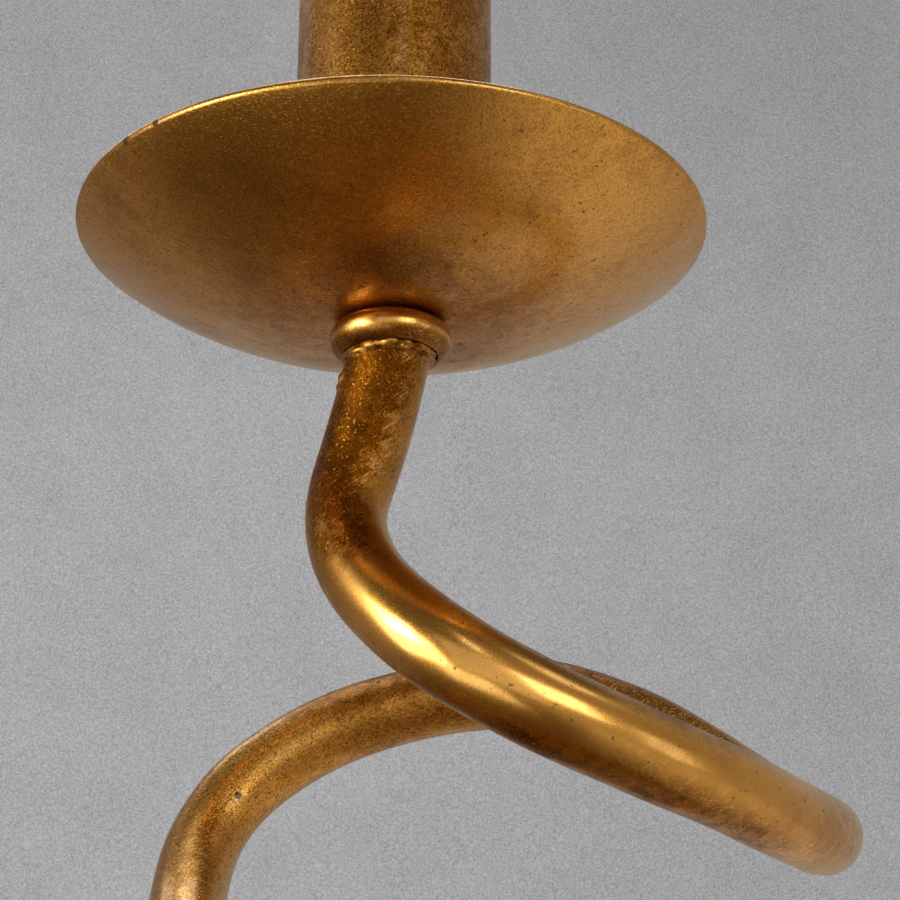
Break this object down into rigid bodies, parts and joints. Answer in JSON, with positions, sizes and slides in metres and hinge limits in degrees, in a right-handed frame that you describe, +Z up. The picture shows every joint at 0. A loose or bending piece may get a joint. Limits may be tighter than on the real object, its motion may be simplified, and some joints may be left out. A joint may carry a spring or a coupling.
{
  "type": "candle holder",
  "caption": "Table candle holder: a bent-rod spiral stem on a domed round base carries a shallow drip dish with a plain upright candle tube, in antique gilt metal.",
  "frame": {"origin": "centre of the felt pad's underside, on the table, under the candle's axis", "axes": "+Z up along the candle's axis; the stem's first turn comes forward towards -Y"},
  "size_m": [0.1247, 0.1248, 0.2828],
  "materials": {
    "gilt": "antique gilt over spun and turned metal, rubbed and mottled brown",
    "gilt_rod": "antique gilt over bent steel rod, rubbed, scratched and mottled brown",
    "steel": "plain zinc-plated fasteners",
    "iron": "rough casting, bare",
    "felt": "dark brown felt"
  },
  "bodies": {
    "root": {"candle_tube": "gilt", "drip_dish": "gilt", "collar_bead": "gilt", "spiral_stem": "gilt_rod", "foot_bead": "gilt", "base_cover": "gilt", "cup_plug": "gilt", "top_stud": "steel", "cup_washer": "steel", "cup_nut": "steel", "foot_stud": "steel", "base_washer": "steel", "base_nut": "steel", "base_weight": "iron", "felt_pad": "felt"}
  },
  "joints": []
}
